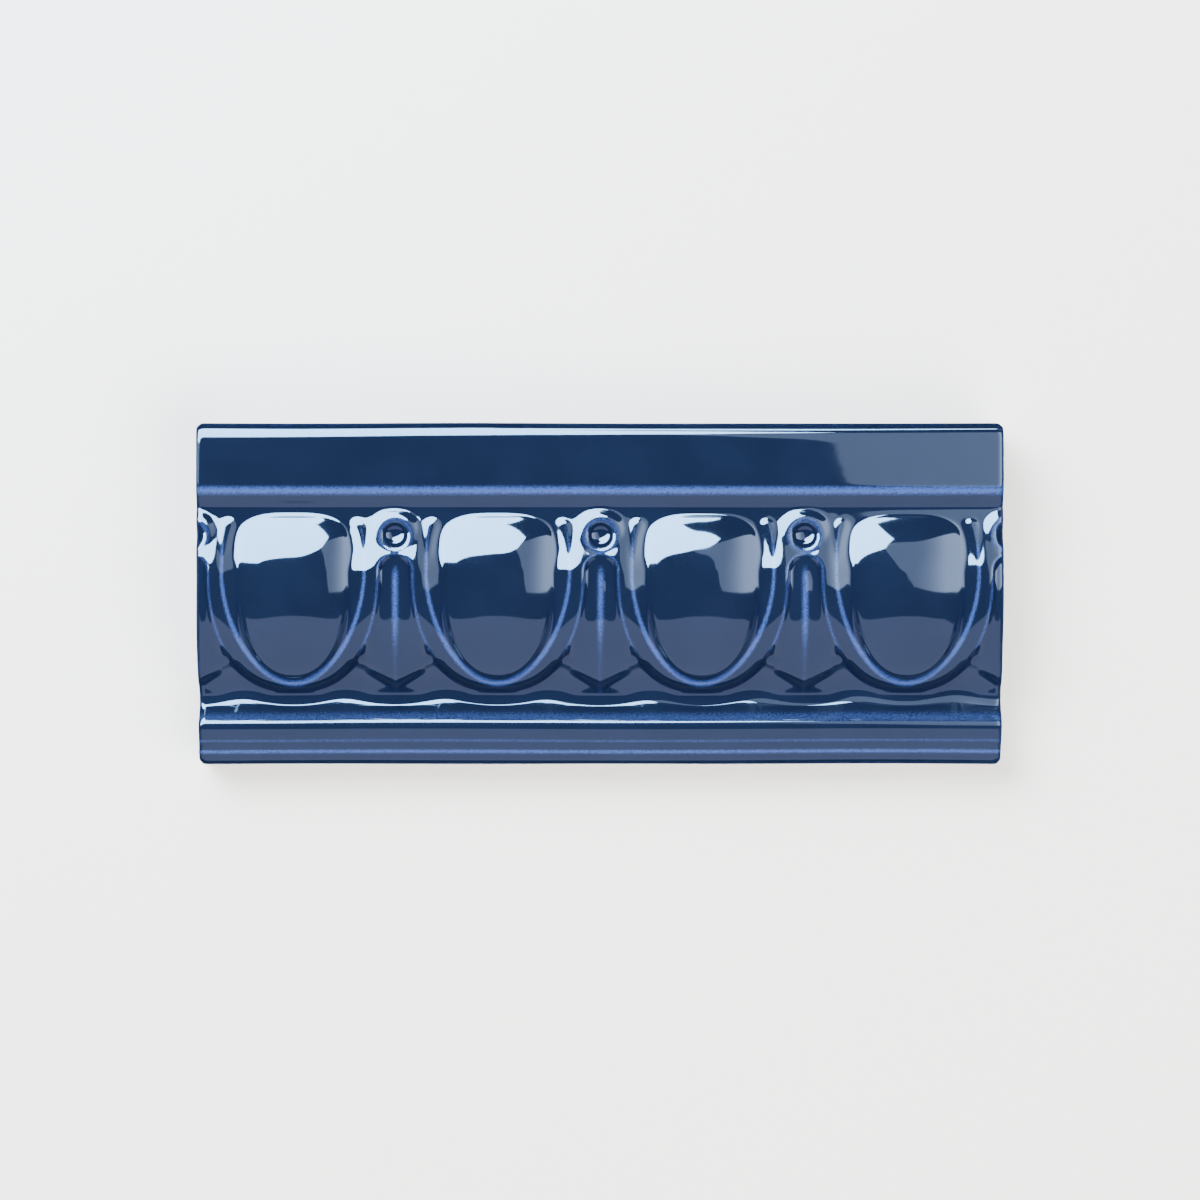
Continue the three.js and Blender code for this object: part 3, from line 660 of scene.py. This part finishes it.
class Value:
    """A shader socket that can be added, scaled and mixed like a number."""

    def __init__(self, tree, socket):
        self.tree = tree
        self.socket = socket

    def math(self, operation, *others, flip=False):
        node = self.tree.nodes.new("ShaderNodeMath")
        node.operation = operation
        operands = [self, *others]
        if flip:
            operands.reverse()
        for slot, operand in zip(node.inputs, operands):
            connect(self.tree, slot, operand)
        return Value(self.tree, node.outputs[0])

    def __add__(self, other):
        return self.math("ADD", other)

    def __radd__(self, other):
        return self.math("ADD", other, flip=True)

    def __sub__(self, other):
        return self.math("SUBTRACT", other)

    def __rsub__(self, other):
        return self.math("SUBTRACT", other, flip=True)

    def __mul__(self, other):
        return self.math("MULTIPLY", other)

    def __rmul__(self, other):
        return self.math("MULTIPLY", other, flip=True)

    def step(self, low, high):
        """Smooth 0 to 1 as this value goes from low to high."""
        node = add_node(self.tree, "ShaderNodeMapRange",
                        {"interpolation_type": "SMOOTHSTEP"},
                        **{"Value": self, "From Min": low, "From Max": high})
        return node["Result"]


def connect(tree, slot, operand):
    if isinstance(operand, Value):
        tree.links.new(operand.socket, slot)
    else:
        slot.default_value = operand


class Outputs:
    def __init__(self, tree, node):
        self.tree = tree
        self.node = node

    def __getitem__(self, name):
        return Value(self.tree, self.node.outputs[name])


def add_node(tree, kind, settings=None, **inputs):
    node = tree.nodes.new(kind)
    for name, value in (settings or {}).items():
        setattr(node, name, value)
    for name, operand in inputs.items():
        connect(tree, node.inputs[name], operand)
    return Outputs(tree, node)


def mixed(tree, factor, first, second):
    node = tree.nodes.new("ShaderNodeMix")
    node.data_type = "RGBA"
    connect(tree, node.inputs[0], factor)
    connect(tree, node.inputs[6], first)
    connect(tree, node.inputs[7], second)
    return Value(tree, node.outputs[2])


def noise(tree, vector, scale, detail=2.0, roughness=0.5):
    """Cloudy noise between 0 and 1; the scale is in waves to a metre."""
    outputs = add_node(tree, "ShaderNodeTexNoise", None,
                       **{"Vector": vector, "Scale": scale, "Detail": detail, "Roughness": roughness})
    return outputs["Fac"]


def new_material(name):
    material = bpy.data.materials.new(name)
    material.use_nodes = True
    tree = material.node_tree
    return material, tree, tree.nodes["Principled BSDF"]


BODY_BLUES = ((0.0034, 0.0070, 0.0200, 1), (0.0040, 0.0081, 0.0228, 1))
POOLED_BLUE = (0.0026, 0.0045, 0.019, 1)
THIN_BLUE = (0.027, 0.054, 0.185, 1)
CLAY_CREAMS = ((0.44, 0.36, 0.27, 1), (0.56, 0.48, 0.37, 1))
SPECK_CONTRAST = 2.8
GLAZE_LINE = 4.4
GLAZE_LINE_WANDER = 7.0
GLAZE_LINE_SOFTNESS = 0.2
GLAZE_ROUGHNESS = 0.045
CLAY_ROUGHNESS = 0.75


def make_glaze():
    material, tree, shader = new_material("blue_glaze")
    place = add_node(tree, "ShaderNodeTexCoord")["Object"]
    pool = add_node(tree, "ShaderNodeAttribute", {"attribute_name": "pool"})["Fac"]
    arris = add_node(tree, "ShaderNodeAttribute", {"attribute_name": "thin"})["Fac"]
    height = add_node(tree, "ShaderNodeSeparateXYZ", None, Vector=place)["Z"]
    speck = noise(tree, place, 3200.0, 2.0, 0.7)
    cloud = noise(tree, place, 90.0)

    # Glaze colour by depth: pale and speckled where it runs thin, darkest where it pools
    thin = (arris + (speck - 0.5) * SPECK_CONTRAST * arris).step(0.05, 1.05)
    deep = pool.step(0.05, 0.6)
    body = mixed(tree, cloud.step(0.3, 0.7), *BODY_BLUES)
    deepened = mixed(tree, deep, body, POOLED_BLUE)
    glaze = mixed(tree, thin, deepened, THIN_BLUE)

    # Bare clay below the wandering line where the glaze stops
    line = noise(tree, place, 60.0, 3.0)
    level = height * (1 / MM) + (line - 0.5) * GLAZE_LINE_WANDER
    bare = level.step(GLAZE_LINE + GLAZE_LINE_SOFTNESS, GLAZE_LINE - GLAZE_LINE_SOFTNESS)
    clay_grain = noise(tree, place, 700.0, 4.0, 0.6)
    clay = mixed(tree, clay_grain, *CLAY_CREAMS)
    color = mixed(tree, bare, glaze, clay)
    tree.links.new(color.socket, shader.inputs["Base Color"])

    roughness = GLAZE_ROUGHNESS + 0.02 * cloud + CLAY_ROUGHNESS * bare
    tree.links.new(roughness.socket, shader.inputs["Roughness"])
    shader.inputs["IOR"].default_value = 1.55

    ripple = noise(tree, place, 260.0)
    bumps = ripple * 0.25 + bare * clay_grain * 2.0
    bump = add_node(tree, "ShaderNodeBump", None,
                    **{"Height": bumps, "Strength": 0.35, "Distance": 0.08 * MM})
    tree.links.new(bump["Normal"].socket, shader.inputs["Normal"])
    return material


tile.data.materials.append(make_glaze())


# Floor, lights and camera

def make_floor():
    material, _, shader = new_material("pale_floor")
    shader.inputs["Base Color"].default_value = (0.80, 0.785, 0.75, 1)
    shader.inputs["Roughness"].default_value = 0.9
    floor_mesh = bpy.data.meshes.new("floor")
    half = 1.5
    floor_mesh.from_pydata([(-half, -half, 0), (half, -half, 0), (half, half, 0), (-half, half, 0)],
                           [], [(0, 1, 2, 3)])
    floor_mesh.materials.append(material)
    floor = bpy.data.objects.new("floor", floor_mesh)
    bpy.context.scene.collection.objects.link(floor)
    floor.visible_glossy = False


def make_card(name, corners, color, strength, dimming=1.0):
    """A glowing card that only shows as a reflection in the glaze, dimmer towards its near end."""
    material, tree, shader = new_material(name)
    place = add_node(tree, "ShaderNodeTexCoord")["Object"]
    away = add_node(tree, "ShaderNodeSeparateXYZ", None, Vector=place)["X"].step(60 * MM, 260 * MM)
    near = [channel / dimming for channel in color] + [1]
    glow = mixed(tree, away, near, [*color, 1])
    tree.links.new(glow.socket, shader.inputs["Emission Color"])
    shader.inputs["Emission Strength"].default_value = strength
    shader.inputs["Base Color"].default_value = (0, 0, 0, 1)
    shader.inputs["Specular IOR Level"].default_value = 0
    card = bpy.data.meshes.new(name)
    card.from_pydata([Vector(corner) * MM for corner in corners], [], [tuple(range(len(corners)))])
    card.materials.append(material)
    panel = bpy.data.objects.new(name, card)
    bpy.context.scene.collection.objects.link(panel)
    panel.visible_camera = False
    panel.visible_diffuse = False
    panel.visible_shadow = False


def level_card(name, outline, height, *look):
    make_card(name, [(x, y, height) for x, y in outline], *look)


def make_lamp(name, place, size, power):
    """A soft lamp that lights the floor and the clay but isn't mirrored in the glaze."""
    data = bpy.data.lights.new(name, "AREA")
    data.shape = "DISK"
    data.size = size
    data.energy = power
    lamp = bpy.data.objects.new(name, data)
    lamp.location = place
    lamp.rotation_euler = (-Vector(place)).to_track_quat("-Z", "Y").to_euler()
    lamp.visible_glossy = False
    bpy.context.scene.collection.objects.link(lamp)


# Glowing cards, with outlines that make their reflections break over the relief as in the photograph
CARD_HEIGHT = 165.0
GREY_CARD_HEIGHT = 168.0
FLOOR_GAP = 2.0
FAR = 1500
WHITE = (0.44, 0.84, 1.45)
GREY = (0.50, 0.67, 1.0)
PURPLE = (0.53, 0.62, 1.0)
WHITE_GLOW = 56.0
SIDE_GLOW = 46.0
GREY_GLOW = 10.9
GREY_DIMMING = 3.2
FAR_GLOW = 4.0
PURPLE_GLOW = 2.05
LOW_GLOW = 2.1


def make_cards():
    level_card("white_card",
               [(-FAR, 120), (-600, 62), (-290, 40), (-205, 38), (-110, 76), (-38, 104), (-5, 120),
                (20, 140), (55, 215), (-19, 400), (69, 536), (300, FAR), (-FAR, FAR)],
               CARD_HEIGHT, WHITE, WHITE_GLOW)
    level_card("grey_card",
               [(0, 165), (40, 70), (52, 27), (75, -14), (320, -10), (1700, -10), (1700, 800), (132, 220)],
               GREY_CARD_HEIGHT, GREY, GREY_GLOW, GREY_DIMMING)
    level_card("lower_card",
               [(-330, -86), (200, -86), (330, -125), (420, -260), (560, -600), (700, -FAR),
                (-700, -FAR), (-560, -600), (-430, -260)],
               CARD_HEIGHT, PURPLE, PURPLE_GLOW)
    make_card("low_card",
              [(-600, -260, FLOOR_GAP), (600, -260, FLOOR_GAP), (600, -300, 80), (-600, -300, 80)],
              PURPLE, LOW_GLOW)
    make_card("left_card",
              [(-FAR, 60, 40), (-FAR, FAR, 40), (-FAR, FAR, CARD_HEIGHT), (-FAR, 60, CARD_HEIGHT)],
              WHITE, SIDE_GLOW)
    make_card("back_card",
              [(-FAR, FAR, 60), (-50, FAR, 60), (-50, FAR, CARD_HEIGHT), (-FAR, FAR, CARD_HEIGHT)],
              WHITE, SIDE_GLOW)
    make_card("far_card",
              [(150, 1000, FLOOR_GAP), (FAR, 1000, FLOOR_GAP), (FAR, 1000, 100), (150, 1000, 100)],
              GREY, FAR_GLOW)


def make_world():
    world = bpy.data.worlds.new("studio")
    world.use_nodes = True
    background = world.node_tree.nodes["Background"]
    background.inputs["Color"].default_value = (0.95, 0.97, 1.0, 1)
    background.inputs["Strength"].default_value = 1.05
    world.cycles_visibility.glossy = False
    bpy.context.scene.world = world


IMAGE_SIZE = 1200
PIXELS_PER_MM = 5.222
CAMERA_HEIGHT = 1000.0
CAMERA_Y = -1.1
SENSOR_WIDTH = 36.0


def make_camera():
    """Looks straight down at the tile, as the photograph does."""
    data = bpy.data.cameras.new("camera")
    data.sensor_width = SENSOR_WIDTH
    data.lens = SENSOR_WIDTH * CAMERA_HEIGHT * PIXELS_PER_MM / IMAGE_SIZE
    camera = bpy.data.objects.new("camera", data)
    camera.location = (0, CAMERA_Y * MM, CAMERA_HEIGHT * MM)
    bpy.context.scene.collection.objects.link(camera)
    bpy.context.scene.camera = camera


make_floor()
make_cards()
make_lamp("key_lamp", (-0.5, 0.6, 1.1), 0.9, 63.0)
make_lamp("fill_lamp", (0.6, -0.5, 1.2), 1.2, 48.5)
make_world()
make_camera()
